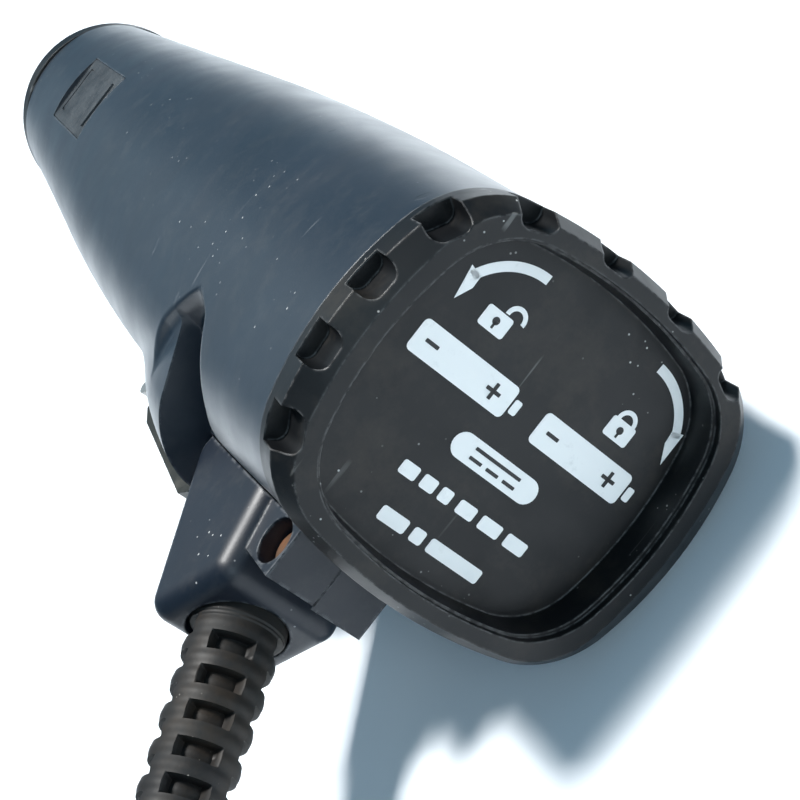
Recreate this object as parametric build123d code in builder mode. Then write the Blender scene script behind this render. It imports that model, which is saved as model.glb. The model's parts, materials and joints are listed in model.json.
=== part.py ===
"""Self-powered inductive timing light: a tapered barrel on two D cells, a bayonet battery
cap, a squeeze lever, a raked lead housing and a pickup lead, lying on its right side.

Every piece is drawn in the tool's own directions: LEFT, FORWARD (towards the lens) and UP
(away from the lead housing). The row frame is the bench: +Z up from the bench, +Y along the
barrel towards the lens, +X the tool's up. The cap rim and the lens bezel rest on the bench,
so the barrel dips by a small angle towards the lens.
"""
import os
from math import atan2, cos, degrees, pi, radians, sin, tan

from build123d import *

os.makedirs("parts", exist_ok=True)

# ---- driving dimensions (mm) ----
CAP_HALF_WIDTH = 28.8       # widest point of the cap, left to right
CAP_HALF_HEIGHT = 24.2
CAP_DEPTH = 6.8             # rim face to the seam
CAP_CREASE = 2.3            # rim face to the widest edge
RIM_HALF_WIDTH = 25.7       # flat rim of the cap
RIM_HALF_HEIGHT = 22.9
LABEL_DEPTH = 5.0           # rim face to the label floor
SEAM_HALF_WIDTH = 28.6      # cap where it meets the barrel
SEAM_HALF_HEIGHT = 24.1
SCALLOP_SPACING = 22.5      # degrees about the barrel
SCALLOP_DEPTH = 2.3
BODY_REAR = 7.2
BODY_FRONT = 212.0
WALL = 2.6
BEZEL_RADIUS = 20.6
BEZEL_FRONT = 217.4
BEZEL_REAR = 212.2
BEZEL_CHAMFER = 0.7
NECK_RADIUS = 19.0
NECK_BORE = 17.6
NECK_FRONT = 213.7
CELL_RADIUS = 16.6
CELL_LENGTH = 61.5
CELL_NUB = 1.5
CELL_START = 13.5
LINER_RADIUS = 18.4
CELL_BORE = 21.6            # round bore of the barrel beside its hollows
SKIRT_RADIUS = 20.8
COLLAR_BORE = 21.1
LUG_RADIUS = 22.4
GROOVE_RADIUS = 22.7
RAKE = 40.0                 # lead housing and lead, back from straight down
POD_HALF_WIDTH = 10.0
LEAD_DIAMETER = 6.5
RELIEF_LENGTH = 62.0
RELIEF_PITCH = 4.8
CLEARANCE = 0.15

# Outside of the barrel: forward, half width, top, bottom, fullness, corner radius.
BARREL_STATIONS = [
    (BODY_REAR, 28.3, 24.0, 24.0, 0.84, 14.0),
    (50.0, 26.6, 25.2, 26.3, 0.82, 15.5),
    (90.0, 25.1, 24.8, 27.0, 0.81, 16.5),
    (130.0, 23.7, 23.4, 25.8, 0.79, 16.5),
    (170.0, 22.0, 21.8, 23.0, 0.77, 16.5),
    (212.0, 20.1, 20.1, 20.1, 0.75, 16.5),
]

# ---- resting pose ----
DIP = degrees(atan2(CAP_HALF_WIDTH - BEZEL_RADIUS, BEZEL_FRONT - BEZEL_CHAMFER - CAP_CREASE))
UP = Vector(1, 0, 0)
FORWARD = Vector(0, cos(radians(DIP)), -sin(radians(DIP)))
LEFT = Vector(0, sin(radians(DIP)), cos(radians(DIP)))
# Centre of the cap's rim face in the row frame. Its height puts the cap's widest edge and the
# bezel's edge on the bench; its place makes the tool's box stand centred over the origin.
TAIL = Vector(10.78, -108.51, CAP_HALF_WIDTH * cos(radians(DIP)) + CAP_CREASE * sin(radians(DIP)))


def at(left, forward, up):
    """A point given in the tool's own directions."""
    return TAIL + LEFT * left + FORWARD * forward + UP * up


def station(forward):
    """Plane across the barrel: local x is left, y is up, z is forward."""
    return Plane(origin=at(0, forward, 0), x_dir=LEFT, z_dir=FORWARD)


def side(left=0.0):
    """Plane along the barrel: local x is forward, y is up, z is right."""
    return Plane(origin=at(left, 0, 0), x_dir=FORWARD, z_dir=-LEFT)


def level(up):
    """Plane seen from above the tool: local x is forward, y is left, z is up."""
    return Plane(origin=at(0, 0, up), x_dir=FORWARD, z_dir=UP)


POD_FACE = (29.0, -40.55)   # forward, up: centre of the face that the lead leaves
LEAD_DIRECTION = FORWARD * -sin(radians(RAKE)) - UP * cos(radians(RAKE))


def along_lead(distance):
    """Plane across the lead, at a distance out from the lead housing's end face."""
    start = at(0, POD_FACE[0], POD_FACE[1])
    return Plane(origin=start + LEAD_DIRECTION * distance, x_dir=LEFT, z_dir=LEAD_DIRECTION)


def bulged_sketch(plane, half_width, top, bottom, fullness, corner):
    """Rounded rectangle with bulging sides, on one plane."""
    x = half_width * fullness
    high, low = top * fullness, -bottom * fullness
    with BuildSketch(plane) as outline:
        with BuildLine():
            ThreePointArc((-x, high), (0, top), (x, high))
            ThreePointArc((x, high), (half_width, 0), (x, low))
            ThreePointArc((x, low), (0, -bottom), (-x, low))
            ThreePointArc((-x, low), (-half_width, 0), (-x, high))
        make_face()
        fillet(outline.vertices(), corner)
    return outline.sketch


def barrel_loft(inset):
    """The barrel's outline as a solid, a wall's thickness in."""
    sections = []
    for forward, half_width, top, bottom, fullness, corner in BARREL_STATIONS:
        sections.append(bulged_sketch(station(forward), half_width - inset, top - inset,
                                      bottom - inset, fullness, corner - inset))
    with BuildPart(mode=Mode.PRIVATE) as solid:
        loft(sections)
    return solid.part


def wall_half_width(forward):
    """Half width of the barrel at a distance forward, between two stations."""
    for behind, ahead in zip(BARREL_STATIONS, BARREL_STATIONS[1:]):
        if behind[0] <= forward <= ahead[0]:
            share = (forward - behind[0]) / (ahead[0] - behind[0])
            return behind[1] + share * (ahead[1] - behind[1])
    return BARREL_STATIONS[-1][1]


# ---- lever boss under the barrel, shared by the shell and by what must clear it ----
BOSS_HALF_WIDTH = 12.5
BOSS_REAR = 49.0
BOSS_FRONT = 92.5
BOSS_LOW_REAR = -33.8
BOSS_LOW_FRONT = -31.2


def boss_solid(extra):
    """Swelling that holds the switch: straight sides, a round front, rounded below."""
    half_width = BOSS_HALF_WIDTH + extra
    with BuildPart(mode=Mode.PRIVATE) as boss:
        with BuildSketch(level(-16)):
            with BuildLine():
                Polyline((BOSS_FRONT - BOSS_HALF_WIDTH, half_width),
                         (BOSS_REAR - extra, half_width),
                         (BOSS_REAR - extra, -half_width),
                         (BOSS_FRONT - BOSS_HALF_WIDTH, -half_width))
                ThreePointArc((BOSS_FRONT - BOSS_HALF_WIDTH, -half_width),
                              (BOSS_FRONT + extra, 0),
                              (BOSS_FRONT - BOSS_HALF_WIDTH, half_width))
            make_face()
        extrude(amount=-24)
        with BuildSketch(side()):
            with BuildLine():
                Polyline((BOSS_REAR - 5, BOSS_LOW_REAR - extra), (BOSS_FRONT + 5, BOSS_LOW_FRONT - extra),
                         (BOSS_FRONT + 5, -50), (BOSS_REAR - 5, -50), close=True)
            make_face()
        extrude(amount=30, both=True, mode=Mode.SUBTRACT)
        lowest = boss.faces().sort_by(Axis.X)[0]
        fillet(lowest.edges(), 9.0)
    return boss.part


# ---- body shell ----
REAR_LUG_REAR = 16.0
REAR_LUG_FRONT = 22.2
REAR_LUG_LOW = -31.6
REAR_LUG_HALF_WIDTH = 7.6
CROSS_SCREW = (19.7, -27.9)  # forward, up
BADGE_FORWARD = 164.0
BADGE_SIZE = (30.0, 14.0)
BADGE_DEPTH = 1.0
NOSE_SCREW_FORWARD = 160.0
NOSE_SCREW_SEAT = 21.6
PIVOT = (84.0, -29.5)        # forward, up: the lever's pin
PLUNGER_FORWARD = 66.0

badge_slope = degrees(atan2(wall_half_width(BADGE_FORWARD + 15) - wall_half_width(BADGE_FORWARD - 15), 30))
badge_x = FORWARD * cos(radians(badge_slope)) + LEFT * sin(radians(badge_slope))
badge_z = LEFT * cos(radians(badge_slope)) - FORWARD * sin(radians(badge_slope))


def badge_plane(depth):
    """Plane in the barrel's left wall near the lens, a depth below the surface."""
    surface = at(wall_half_width(BADGE_FORWARD), BADGE_FORWARD, 0)
    return Plane(origin=surface - badge_z * depth, x_dir=badge_x, z_dir=badge_z)


HOLLOW_REAR = 20.0
HOLLOW_DEEPEST = 46.0
HOLLOW_FRONT = 57.0
HOLLOW_RISE = 14.0           # how far out the hollow's floor is at its rear end
HOLLOW_FLOOR = [(26.4, -7.7), (21.5, -12.5), (17.0, -17.0), (12.4, -21.5), (10.2, -25.0), (10.2, -40.0)]
BORE_FRONT = 62.0


def hollow_sketch(forward, hand, rise):
    """Everything outside a hollow's floor, across the barrel; hand is 1 on the left."""
    with BuildSketch(station(forward)) as outline:
        with BuildLine():
            Polyline(*[(hand * (left + rise), up) for left, up in HOLLOW_FLOOR],
                     (hand * 60, HOLLOW_FLOOR[-1][1]), (hand * 60, HOLLOW_FLOOR[0][1]), close=True)
        make_face()
    return outline.sketch


barrel_outside = barrel_loft(0)
barrel_inside = barrel_loft(WALL)

with BuildPart() as body_shell:
    add(barrel_outside)
    with BuildSketch(station(REAR_LUG_REAR)):
        with Locations((-REAR_LUG_HALF_WIDTH / 2 - CLEARANCE / 2, (REAR_LUG_LOW - 23) / 2)):
            Rectangle(REAR_LUG_HALF_WIDTH - CLEARANCE, -23 - REAR_LUG_LOW)
    extrude(amount=REAR_LUG_FRONT - REAR_LUG_REAR)
    with BuildSketch(station(BODY_FRONT - 2)):
        Circle(NECK_RADIUS)
    extrude(amount=NECK_FRONT - BODY_FRONT + 2)
    # Hollows in both sides behind the boss, running out towards the cap.
    for hand in (1, -1):
        loft([hollow_sketch(HOLLOW_REAR, hand, HOLLOW_RISE), hollow_sketch(HOLLOW_DEEPEST, hand, 0)],
             ruled=True, mode=Mode.SUBTRACT)
        extrude(hollow_sketch(HOLLOW_DEEPEST, hand, 0), amount=HOLLOW_FRONT - HOLLOW_DEEPEST,
                mode=Mode.SUBTRACT)
    add(boss_solid(0))
    # Inside: a round bore beside those hollows, the barrel's own shape from there to the neck.
    with BuildSketch(station(24)):
        Circle(CELL_BORE)
    extrude(amount=BORE_FRONT - 24, mode=Mode.SUBTRACT)
    hollow = split(barrel_inside, bisect_by=station(BORE_FRONT - 1), keep=Keep.TOP, mode=Mode.PRIVATE)
    hollow = split(hollow, bisect_by=station(200), keep=Keep.BOTTOM, mode=Mode.PRIVATE)
    add(hollow, mode=Mode.SUBTRACT)
    with BuildSketch(station(199)):
        Circle(NECK_BORE)
    extrude(amount=20, mode=Mode.SUBTRACT)
    with BuildSketch(station(BODY_REAR - 1)):
        Circle(COLLAR_BORE)
    extrude(amount=18.3, mode=Mode.SUBTRACT)
    # Bayonet: a ring groove and three entries an eighth of a turn from the locked lugs.
    with BuildSketch(station(14.6)):
        Circle(GROOVE_RADIUS)
    extrude(amount=4.2, mode=Mode.SUBTRACT)
    with BuildSketch(station(BODY_REAR - 1)):
        with PolarLocations(0, 3, start_angle=90 - 45):
            with BuildLine():
                Polyline((GROOVE_RADIUS, -5.6), (0, 0), (GROOVE_RADIUS, 5.6))
                ThreePointArc((GROOVE_RADIUS, 5.6), (GROOVE_RADIUS + 0.7, 0), (GROOVE_RADIUS, -5.6))
            make_face()
        Circle(GROOVE_RADIUS, mode=Mode.INTERSECT)
    extrude(amount=9.3, mode=Mode.SUBTRACT)
    with BuildSketch(station(BODY_REAR)):
        Circle(23.9)
        Circle(22.9, mode=Mode.SUBTRACT)
    extrude(amount=0.8, mode=Mode.SUBTRACT)
    # Switch chamber, lever slot, pivot hole and lead passage.
    with BuildSketch(level(-30.6)):
        with Locations((68, 0)):
            Rectangle(32, 13)
    extrude(amount=10, mode=Mode.SUBTRACT)
    with BuildSketch(level(-40)):
        with Locations((70.7, 0)):
            Rectangle(33.4, 10.8)
    extrude(amount=16, mode=Mode.SUBTRACT)
    with BuildSketch(side(BOSS_HALF_WIDTH + 1)):
        with Locations(PIVOT):
            Circle(1.25)
    extrude(amount=2 * BOSS_HALF_WIDTH + 2, mode=Mode.SUBTRACT)
    with BuildSketch(level(-30)):
        with Locations((38.5, 0)):
            Circle(3.6)
    extrude(amount=10, mode=Mode.SUBTRACT)
    with BuildSketch(side(1)):
        with Locations(CROSS_SCREW):
            Circle(1.5)
    extrude(amount=7.5, mode=Mode.SUBTRACT)
    with BuildSketch(side(4.2)):
        with Locations(CROSS_SCREW):
            Circle(3.2)
    extrude(amount=-7, mode=Mode.SUBTRACT)
    # Badge pocket in the left wall and the screw seat on top of the nose.
    with BuildSketch(badge_plane(BADGE_DEPTH)):
        RectangleRounded(*BADGE_SIZE, 1.0)
    extrude(amount=4, mode=Mode.SUBTRACT)
    with BuildSketch(level(10)):
        with Locations((NOSE_SCREW_FORWARD, 0)):
            Circle(1.3)
    extrude(amount=20, mode=Mode.SUBTRACT)
    with BuildSketch(level(NOSE_SCREW_SEAT)):
        with Locations((NOSE_SCREW_FORWARD, 0)):
            Circle(2.6)
    extrude(amount=3, mode=Mode.SUBTRACT)
body_shell.part.label = "body_shell"
export_step(body_shell.part, "parts/body_shell.step")

BARREL_AXIS = Axis(TAIL, FORWARD)


def outline_point(angle):
    """A place on the cap's outline and the direction that faces outwards there."""
    power = 2.7
    across, upward = cos(radians(angle)), sin(radians(angle))
    reach = (abs(across) ** power + abs(upward) ** power) ** (-1 / power)
    x, y = CAP_HALF_WIDTH * reach * across, CAP_HALF_HEIGHT * reach * upward
    normal_x = (abs(x) / CAP_HALF_WIDTH) ** (power - 1) / CAP_HALF_WIDTH
    normal_y = (abs(y) / CAP_HALF_HEIGHT) ** (power - 1) / CAP_HALF_HEIGHT
    facing = degrees(atan2(normal_y if y > 0 else -normal_y, normal_x if x > 0 else -normal_x))
    return Location((x, y, 0), (0, 0, facing))


# ---- battery cap ----
cap_outline = (CAP_HALF_WIDTH, CAP_HALF_HEIGHT, CAP_HALF_HEIGHT, 0.84, 13.6)
SCALLOP_ANGLES = [(turn + 0.5) * SCALLOP_SPACING for turn in range(-2, 6)]
with BuildPart() as battery_cap:
    loft([bulged_sketch(station(0), RIM_HALF_WIDTH, RIM_HALF_HEIGHT, RIM_HALF_HEIGHT, 0.86, 10.8),
          bulged_sketch(station(CAP_CREASE), *cap_outline)], ruled=True)
    loft([bulged_sketch(station(CAP_CREASE), *cap_outline),
          bulged_sketch(station(CAP_DEPTH), SEAM_HALF_WIDTH, SEAM_HALF_HEIGHT, SEAM_HALF_HEIGHT,
                        0.84, 13.6)], ruled=True)
    with BuildSketch(station(CAP_DEPTH)):
        Circle(SKIRT_RADIUS)
    extrude(amount=13.7)
    with BuildSketch(station(15.2)):
        with PolarLocations(0, 3, start_angle=90):
            with BuildLine():
                Polyline((22.2, -4.6), (0, 0), (22.2, 4.6))
                ThreePointArc((22.2, 4.6), (23.8, 0), (22.2, -4.6))
            make_face()
        Circle(LUG_RADIUS, mode=Mode.INTERSECT)
    extrude(amount=3.0)
    with BuildSketch(station(7.0)):
        Circle(18.8)
    extrude(amount=20, mode=Mode.SUBTRACT)
    extrude(bulged_sketch(station(0), 23.5, 20.9, 20.9, 0.85, 11.0), amount=1.1, mode=Mode.SUBTRACT)
    loft([bulged_sketch(station(1.0), 22.9, 20.6, 20.6, 0.85, 10.8),
          bulged_sketch(station(LABEL_DEPTH), 21.9, 20.2, 20.2, 0.86, 10.2)],
         ruled=True, mode=Mode.SUBTRACT)
    with BuildSketch(station(5.2)):
        with Locations(*[outline_point(angle) for angle in SCALLOP_ANGLES]):
            RectangleRounded(2 * SCALLOP_DEPTH, 5.0, 1.5)
    extrude(amount=-7, mode=Mode.SUBTRACT)
    with BuildSketch(station(5.6)):
        Circle(1.5)
    extrude(amount=3, mode=Mode.SUBTRACT)
battery_cap.part.label = "battery_cap"
export_step(battery_cap.part, "parts/battery_cap.step")

with BuildPart() as cap_gasket:
    with BuildSketch(station(CAP_DEPTH + 0.2)):
        Circle(23.8)
        Circle(23.0, mode=Mode.SUBTRACT)
    extrude(amount=0.9)
cap_gasket.part.label = "cap_gasket"
export_step(cap_gasket.part, "parts/cap_gasket.step")

with BuildPart() as contact_plate:
    with BuildSketch(station(7.0)):
        Circle(17.5)
        Circle(1.5, mode=Mode.SUBTRACT)
    extrude(amount=0.6)
contact_plate.part.label = "contact_plate"
export_step(contact_plate.part, "parts/contact_plate.step")

with BuildPart() as contact_rivet:
    with BuildSketch(station(5.7)):
        Circle(1.5)
    extrude(amount=2.0)
    with BuildSketch(station(7.6)):
        Circle(3.0)
    extrude(amount=0.6)
contact_rivet.part.label = "contact_rivet"
export_step(contact_rivet.part, "parts/contact_rivet.step")

SPRING_WIRE = 0.5
with BuildPart() as contact_spring:
    with BuildLine() as spring_path:
        Helix(pitch=1.5, height=4.6, radius=9.0, center=at(0, 8.2, 0), direction=FORWARD)
    with BuildSketch(Plane(origin=spring_path.line @ 0, z_dir=spring_path.line % 0)):
        Circle(SPRING_WIRE)
    sweep(path=spring_path.line, is_frenet=True)
contact_spring.part.label = "contact_spring"
export_step(contact_spring.part, "parts/contact_spring.step")

# ---- cells and their liner ----
for place, name in enumerate(["rear_cell", "front_cell"]):
    start = CELL_START + place * CELL_LENGTH
    shoulder = start + CELL_LENGTH - CELL_NUB
    with BuildPart() as cell:
        with BuildSketch(side()):
            with BuildLine():
                Polyline((start, 0), (start, CELL_RADIUS - 1), (start + 1, CELL_RADIUS),
                         (shoulder - 1, CELL_RADIUS), (shoulder, CELL_RADIUS - 1), (shoulder, 4.75),
                         (shoulder + CELL_NUB, 4.4), (shoulder + CELL_NUB, 0), close=True)
            make_face()
        revolve(axis=BARREL_AXIS)
    cell.part.label = name
    export_step(cell.part, f"parts/{name}.step")

with BuildPart() as cell_liner:
    with BuildSketch(station(21.4)):
        Circle(LINER_RADIUS)
        Circle(LINER_RADIUS - 1, mode=Mode.SUBTRACT)
    extrude(amount=115.8)
cell_liner.part.label = "cell_liner"
export_step(cell_liner.part, "parts/cell_liner.step")

# ---- contact, bulkhead and electronics ----
BULKHEAD = 137.3
BOARD = 146.0
SPACER_RADIUS = 16.0
with BuildPart() as front_contact:
    with BuildSketch(station(BULKHEAD - 0.7)):
        Circle(9.0)
    extrude(amount=0.7)
front_contact.part.label = "front_contact"
export_step(front_contact.part, "parts/front_contact.step")

with BuildPart() as bulkhead:
    with BuildSketch(station(BULKHEAD)):
        Circle(20.0)
        with Locations((0, -19.5)):
            Circle(2.4, mode=Mode.SUBTRACT)
    extrude(amount=3.0)
bulkhead.part.label = "bulkhead"
export_step(bulkhead.part, "parts/bulkhead.step")

with BuildPart() as board_spacers:
    with BuildSketch(station(BULKHEAD + 3)):
        with PolarLocations(SPACER_RADIUS, 3, start_angle=90):
            Circle(2.2)
            Circle(1.2, mode=Mode.SUBTRACT)
    extrude(amount=BOARD - BULKHEAD - 3)
board_spacers.part.label = "board_spacers"
export_step(board_spacers.part, "parts/board_spacers.step")

with BuildPart() as circuit_board:
    with BuildSketch(station(BOARD)):
        Circle(19.4)
        with PolarLocations(SPACER_RADIUS, 3, start_angle=90):
            Circle(1.2, mode=Mode.SUBTRACT)
    extrude(amount=1.6)
circuit_board.part.label = "circuit_board"
export_step(circuit_board.part, "parts/circuit_board.step")

with BuildPart() as board_screws:
    with BuildSketch(station(BOARD - 4)):
        with PolarLocations(SPACER_RADIUS, 3, start_angle=90):
            Circle(1.2)
    extrude(amount=5.6)
    with BuildSketch(station(BOARD + 1.6)):
        with PolarLocations(SPACER_RADIUS, 3, start_angle=90):
            Circle(2.4)
    extrude(amount=1.5)
board_screws.part.label = "board_screws"
export_step(board_screws.part, "parts/board_screws.step")

BOARD_FACE = BOARD + 1.6
with BuildPart() as flash_capacitor:
    with BuildSketch(station(BOARD_FACE)):
        with Locations((8.5, 3.0)):
            Circle(6.5)
    extrude(amount=22)
    fillet(flash_capacitor.edges().group_by(Axis.Y)[-1], 0.8)
flash_capacitor.part.label = "flash_capacitor"
export_step(flash_capacitor.part, "parts/flash_capacitor.step")

TRANSFORMER = (-8.0, 2.0)
with BuildPart() as transformer_core:
    with BuildSketch(station(BOARD_FACE)):
        with Locations(TRANSFORMER):
            Rectangle(12.0, 14.0)
            Rectangle(7.6, 10.0, mode=Mode.SUBTRACT)
            Rectangle(7.7, 2.4)
    extrude(amount=14)
transformer_core.part.label = "transformer_core"
export_step(transformer_core.part, "parts/transformer_core.step")

with BuildPart() as transformer_winding:
    with BuildSketch(station(BOARD_FACE + 1)):
        with Locations(TRANSFORMER):
            Rectangle(7.4, 9.8)
            Rectangle(7.6, 2.6, mode=Mode.SUBTRACT)
    extrude(amount=12)
transformer_winding.part.label = "transformer_winding"
export_step(transformer_winding.part, "parts/transformer_winding.step")

with BuildPart() as trigger_coil:
    with BuildSketch(station(BOARD_FACE)):
        with Locations((1.0, -11.5)):
            Circle(3.2)
    extrude(amount=11)
trigger_coil.part.label = "trigger_coil"
export_step(trigger_coil.part, "parts/trigger_coil.step")

# ---- lamp ----
REFLECTOR_VERTEX = 192.0
FOCAL_LENGTH = 3.75
REFLECTOR_RIM = 212.0
LAMP = REFLECTOR_VERTEX + FOCAL_LENGTH
bowl_inside = [(REFLECTOR_VERTEX + depth, 2 * (FOCAL_LENGTH * depth) ** 0.5)
               for depth in (0, 0.6, 2.4, 5.4, 9.6, 15.0, REFLECTOR_RIM - REFLECTOR_VERTEX)]
bowl_outside = [(REFLECTOR_VERTEX - 0.9 + depth, 2 * (FOCAL_LENGTH * depth) ** 0.5)
                for depth in (0, 0.6, 2.4, 5.4, 9.6, 15.0, 19.0)]
with BuildPart() as reflector:
    with BuildSketch(side()):
        with BuildLine():
            Spline(*bowl_inside)
            Polyline(bowl_inside[-1], (213.6, bowl_inside[-1][1]), (213.6, NECK_BORE - 0.15),
                     (bowl_outside[-1][0], NECK_BORE - 0.15), bowl_outside[-1])
            Spline(*bowl_outside)
            Line(bowl_outside[0], bowl_inside[0])
        make_face()
    revolve(axis=BARREL_AXIS)
    with BuildSketch(station(184)):
        Circle(10.7)
        Circle(9.7, mode=Mode.SUBTRACT)
    extrude(amount=14.4)
    with BuildSketch(station(185)):
        with Locations((-6.2, 0), (6.2, 0)):
            Circle(2.5)
    extrude(amount=LAMP + 3 - 185, mode=Mode.SUBTRACT)
reflector.part.label = "reflector"
export_step(reflector.part, "parts/reflector.step")

with BuildPart() as tube_holder:
    with BuildSketch(station(183.5)):
        Circle(9.65)
        with Locations((-6.0, 0), (6.0, 0)):
            Circle(0.5, mode=Mode.SUBTRACT)
    extrude(amount=4)
tube_holder.part.label = "tube_holder"
export_step(tube_holder.part, "parts/tube_holder.step")

with BuildPart() as flash_tube:
    with BuildSketch(side(5.2)):
        with Locations((LAMP, 0)):
            Circle(1.7)
    extrude(amount=10.4)
flash_tube.part.label = "flash_tube"
export_step(flash_tube.part, "parts/flash_tube.step")

with BuildPart() as tube_electrodes:
    for end in (-5.2, 6.8):
        with BuildSketch(side(end)):
            with Locations((LAMP, 0)):
                Circle(1.9)
        extrude(amount=1.6)
    with BuildSketch(station(181)):
        with Locations((-6.0, 0), (6.0, 0)):
            Circle(0.5)
    extrude(amount=LAMP - 181)
tube_electrodes.part.label = "tube_electrodes"
export_step(tube_electrodes.part, "parts/tube_electrodes.step")

with BuildPart() as lens_gasket:
    with BuildSketch(station(NECK_FRONT + 0.05)):
        Circle(18.8)
        Circle(17.7, mode=Mode.SUBTRACT)
    extrude(amount=0.8)
lens_gasket.part.label = "lens_gasket"
export_step(lens_gasket.part, "parts/lens_gasket.step")

with BuildPart() as lens:
    with BuildSketch(station(214.6)):
        Circle(18.7)
    extrude(amount=1.6)
    with BuildSketch(station(216.2)):
        Circle(16.9)
    extrude(amount=0.7, taper=50)
lens.part.label = "lens"
export_step(lens.part, "parts/lens.step")

with BuildPart() as lens_bezel:
    with BuildSketch(side()):
        with BuildLine():
            Polyline((BEZEL_REAR, 19.15), (BEZEL_REAR, BEZEL_RADIUS),
                     (BEZEL_FRONT - BEZEL_CHAMFER, BEZEL_RADIUS),
                     (BEZEL_FRONT, BEZEL_RADIUS - BEZEL_CHAMFER), (BEZEL_FRONT, 17.4), (216.3, 17.0),
                     (216.3, 19.15), close=True)
        make_face()
    revolve(axis=BARREL_AXIS)
lens_bezel.part.label = "lens_bezel"
export_step(lens_bezel.part, "parts/lens_bezel.step")

with BuildPart() as side_badge:
    with BuildSketch(badge_plane(BADGE_DEPTH)):
        RectangleRounded(BADGE_SIZE[0] - 0.4, BADGE_SIZE[1] - 0.4, 0.8)
    extrude(amount=0.6)
side_badge.part.label = "side_badge"
export_step(side_badge.part, "parts/side_badge.step")

with BuildPart() as nose_screw:
    with BuildSketch(level(14)):
        with Locations((NOSE_SCREW_FORWARD, 0)):
            Circle(1.3)
    extrude(amount=NOSE_SCREW_SEAT - 14)
    with BuildSketch(level(NOSE_SCREW_SEAT)):
        with Locations((NOSE_SCREW_FORWARD, 0)):
            Circle(2.5)
    extrude(amount=1.8)
    fillet(nose_screw.edges().group_by(Axis.X)[-1], 1.0)
nose_screw.part.label = "nose_screw"
export_step(nose_screw.part, "parts/nose_screw.step")

# ---- lever and switch ----
LEVER_HALF_WIDTH = 5.0
LEVER_OUTLINE = [(86.6, -30.6), (85.8, -32.4), (82.5, -33.9), (57.5, -36.2), (55.2, -34.8),
                 (55.2, -32.6), (56.5, -32.0), (80.5, -32.0), (82.0, -29.5), (86.0, -29.5)]
with BuildPart() as squeeze_lever:
    with BuildSketch(side()):
        with BuildLine():
            Polyline(*LEVER_OUTLINE, close=True)
        make_face()
        with Locations(PIVOT):
            Circle(2.5)
            Circle(1.3, mode=Mode.SUBTRACT)
    extrude(amount=LEVER_HALF_WIDTH, both=True)
squeeze_lever.part.label = "squeeze_lever"
export_step(squeeze_lever.part, "parts/squeeze_lever.step")

PIN_HALF_LENGTH = 8.2
with BuildPart() as lever_pin:
    with BuildSketch(side(PIN_HALF_LENGTH)):
        with Locations(PIVOT):
            Circle(1.25)
    extrude(amount=2 * PIN_HALF_LENGTH)
lever_pin.part.label = "lever_pin"
export_step(lever_pin.part, "parts/lever_pin.step")

SWITCH_PINS = [(61.0, -23.0), (75.0, -23.0)]
with BuildPart() as switch_body:
    with BuildSketch(side(3.2)):
        with BuildLine():
            Polyline((58, -29.4), (78, -29.4), (78, -20.4), (58, -20.4), close=True)
        make_face()
        with Locations(*SWITCH_PINS):
            Circle(1.1, mode=Mode.SUBTRACT)
    extrude(amount=6.4)
    with BuildSketch(level(-30)):
        with Locations((PLUNGER_FORWARD, 0)):
            Circle(1.25)
    extrude(amount=6, mode=Mode.SUBTRACT)
switch_body.part.label = "switch_body"
export_step(switch_body.part, "parts/switch_body.step")

with BuildPart() as switch_pins:
    with BuildSketch(side(6.4)):
        with Locations(*SWITCH_PINS):
            Circle(1.1)
    extrude(amount=12.8)
switch_pins.part.label = "switch_pins"
export_step(switch_pins.part, "parts/switch_pins.step")

with BuildPart() as switch_plunger:
    with BuildSketch(level(-31.85)):
        with Locations((PLUNGER_FORWARD, 0)):
            Circle(1.2)
    extrude(amount=6)
switch_plunger.part.label = "switch_plunger"
export_step(switch_plunger.part, "parts/switch_plunger.step")

# ---- lead housing ----
POD_OUTLINE = [(22.6, -35.5), (28.5, -20), (57, -20), (50.5, -29.5), (32.6, -48.4)]
POD_INSIDE = [(26.66, -34.41), (31.5, -19), (54, -19), (47.3, -29.4), (35.46, -41.79)]
with BuildPart() as lead_housing:
    with BuildSketch(side()):
        with BuildLine():
            Polyline(*POD_OUTLINE, close=True)
        make_face()
    extrude(amount=POD_HALF_WIDTH, both=True)
    lower_edges = lead_housing.edges().filter_by(lambda edge: edge.center().X < TAIL.X - 21)
    fillet(lower_edges, 3.0)
    with BuildSketch(station(REAR_LUG_REAR)):
        with Locations((4.2, -27)):
            Rectangle(8.1, -2 * (REAR_LUG_LOW + 27))
    extrude(amount=12)
    with BuildSketch(side()):
        with BuildLine():
            Polyline(*POD_INSIDE, close=True)
        make_face()
    extrude(amount=7.4, both=True, mode=Mode.SUBTRACT)
    with BuildSketch(along_lead(-5)):
        Circle(4.9)
    extrude(amount=10, mode=Mode.SUBTRACT)
    with BuildSketch(along_lead(-1)):
        Circle(6.8)
    extrude(amount=5, mode=Mode.SUBTRACT)
    with BuildSketch(side(-2)):
        with Locations(CROSS_SCREW):
            Circle(1.6)
    extrude(amount=-12, mode=Mode.SUBTRACT)
    with BuildSketch(side(4.4)):
        with Locations(CROSS_SCREW):
            Circle(3.2)
    extrude(amount=-6, mode=Mode.SUBTRACT)
    add(barrel_loft(-CLEARANCE), mode=Mode.SUBTRACT)
    add(boss_solid(CLEARANCE), mode=Mode.SUBTRACT)
lead_housing.part.label = "lead_housing"
export_step(lead_housing.part, "parts/lead_housing.step")

with BuildPart() as housing_screw:
    with BuildSketch(side(6.2)):
        with Locations(CROSS_SCREW):
            Circle(2.9)
    extrude(amount=1.8)
    fillet(housing_screw.edges().group_by(Axis.Z)[-1], 1.1)
    with BuildSketch(side(4.4)):
        with Locations(CROSS_SCREW):
            Circle(1.5)
    extrude(amount=10.4)
housing_screw.part.label = "housing_screw"
export_step(housing_screw.part, "parts/housing_screw.step")

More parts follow.
